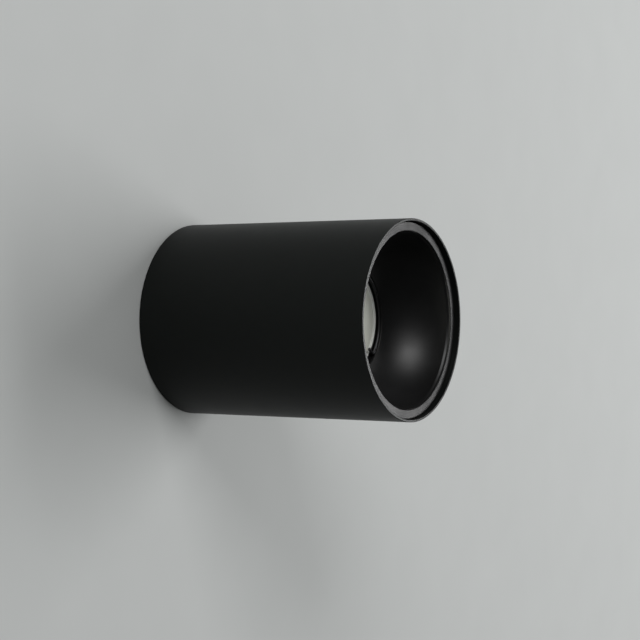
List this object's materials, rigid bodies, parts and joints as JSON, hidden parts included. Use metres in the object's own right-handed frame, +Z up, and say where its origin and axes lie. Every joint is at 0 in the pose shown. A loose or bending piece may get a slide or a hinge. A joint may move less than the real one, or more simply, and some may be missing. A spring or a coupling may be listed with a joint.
{
  "type": "surface-mounted spotlight",
  "caption": "Cylindrical surface-mounted ceiling spotlight with a deep black glare bowl, twist-on housing, pull-out reflector insert and a replaceable reflector lamp.",
  "frame": {"origin": "centre of the two ceiling screw slots, on the ceiling face of the mounting bar", "axes": "+Z up into the ceiling, the body hangs along -Z; +X along the mounting bar"},
  "size_m": [0.096, 0.096, 0.126],
  "materials": {
    "powder_coated_aluminium": "matte",
    "ring_black_aluminium": "matte",
    "bowl_black_aluminium": "satin",
    "zinc_plated_steel": "zinc plated",
    "spring_steel": "bright spring steel",
    "black_spring_steel": "blackened",
    "steatite_ceramic": "matte",
    "contact_brass": "plain brass",
    "nickel_plated_brass": "nickel plated",
    "block_plastic": "natural polyamide",
    "bush_plastic": "black polyamide",
    "lead_brown": "silicone insulation",
    "lead_blue": "silicone insulation",
    "lead_green_yellow": "silicone insulation, two colours",
    "lamp_shell_black": "satin black",
    "lamp_base_plastic": "white heat-resistant plastic",
    "frosted_lens": "frosted polycarbonate",
    "board_white": "white solder mask",
    "led_yellow": "phosphor"
  },
  "bodies": {
    "mount": {"mounting_bar": "zinc_plated_steel", "bayonet_studs": "zinc_plated_steel", "cable_bush": "bush_plastic"},
    "housing": {"body_tube": "powder_coated_aluminium", "base_disc": "zinc_plated_steel", "base_disc_screws": "zinc_plated_steel", "holder_strap": "zinc_plated_steel", "strap_rivets": "zinc_plated_steel", "lampholder_body": "steatite_ceramic", "lampholder_cap": "steatite_ceramic", "holder_contacts": "contact_brass", "lampholder_screws": "zinc_plated_steel", "terminal_block": "block_plastic", "terminal_sleeves": "contact_brass", "terminal_screws": "zinc_plated_steel", "terminal_fixing_screws": "zinc_plated_steel", "lead_live": "lead_brown", "lead_neutral": "lead_blue", "lead_earth": "lead_green_yellow", "earth_terminal": "contact_brass", "earth_screw": "zinc_plated_steel"},
    "reflector_insert": {"front_ring": "ring_black_aluminium", "reflector_bowl": "bowl_black_aluminium", "bowl_retaining_ring": "spring_steel", "snap_ring": "black_spring_steel", "leaf_spring_1": "spring_steel", "leaf_spring_2": "spring_steel", "leaf_spring_3": "spring_steel", "spring_rivets": "spring_steel"},
    "lamp": {"lamp_housing": "lamp_shell_black", "lamp_bezel": "lamp_shell_black", "lamp_lens": "frosted_lens", "lamp_base": "lamp_base_plastic", "lamp_pins": "nickel_plated_brass", "led_board": "board_white", "led_chips": "led_yellow"}
  },
  "joints": [
    {"name": "housing_twist", "type": "hinge", "parent": "mount", "child": "housing", "pos_m": [0, 0, 0], "axis": [0, 0, -1], "range_deg": [0, 15]},
    {"name": "reflector_pull", "type": "slide", "parent": "housing", "child": "reflector_insert", "axis": [0, 0, -1], "range_m": [0, 0.045]},
    {"name": "lamp_twist", "type": "hinge", "parent": "housing", "child": "lamp", "pos_m": [0, 0, 0], "axis": [0, 0, -1], "range_deg": [0, 30]}
  ]
}
